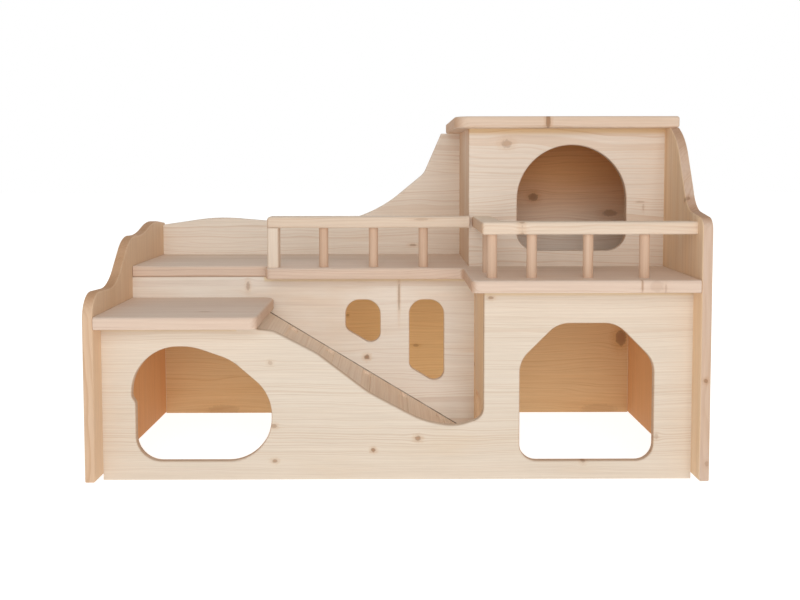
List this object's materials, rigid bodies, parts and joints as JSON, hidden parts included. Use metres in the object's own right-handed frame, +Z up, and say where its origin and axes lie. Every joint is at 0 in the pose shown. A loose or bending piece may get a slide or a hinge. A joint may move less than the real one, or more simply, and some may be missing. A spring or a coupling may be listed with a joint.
{
  "type": "guinea pig castle",
  "caption": "Open-bottomed wooden castle for guinea pigs with rooms, a ramp, railed decks and a roofed tower.",
  "frame": {"origin": "on the floor, below the middle of the overall width and depth", "axes": "+X to the right seen from the front, +Y to the back, +Z up"},
  "size_m": [0.782, 0.4, 0.4715],
  "materials": {
    "spruce_panel": "sanded, untreated",
    "spruce_plank": "sanded, untreated",
    "spruce_ramp": "sanded, untreated",
    "dowel_wood": "sanded, untreated",
    "screw_steel": "zinc plated, satin"
  },
  "bodies": {
    "root": {"left_side_panel": "spruce_panel", "right_side_panel": "spruce_panel", "front_panel": "spruce_panel", "middle_wall": "spruce_panel", "back_panel": "spruce_panel", "divider_wall": "spruce_panel", "tower_front_wall": "spruce_panel", "tower_left_wall": "spruce_panel", "low_platform": "spruce_plank", "upper_platform": "spruce_plank", "roof_board": "spruce_plank", "bay_handrail": "spruce_plank", "rail_post": "spruce_plank", "wing_handrail": "spruce_plank", "ramp_board": "spruce_ramp", "bay_dowel_1": "dowel_wood", "bay_dowel_2": "dowel_wood", "bay_dowel_3": "dowel_wood", "return_dowel": "dowel_wood", "wing_dowel_1": "dowel_wood", "wing_dowel_2": "dowel_wood", "wing_dowel_3": "dowel_wood", "wing_dowel_4": "dowel_wood", "left_screws": "screw_steel", "right_screws": "screw_steel", "back_screws": "screw_steel", "roof_screws": "screw_steel", "inner_screws": "screw_steel", "post_screw": "screw_steel"}
  },
  "joints": []
}
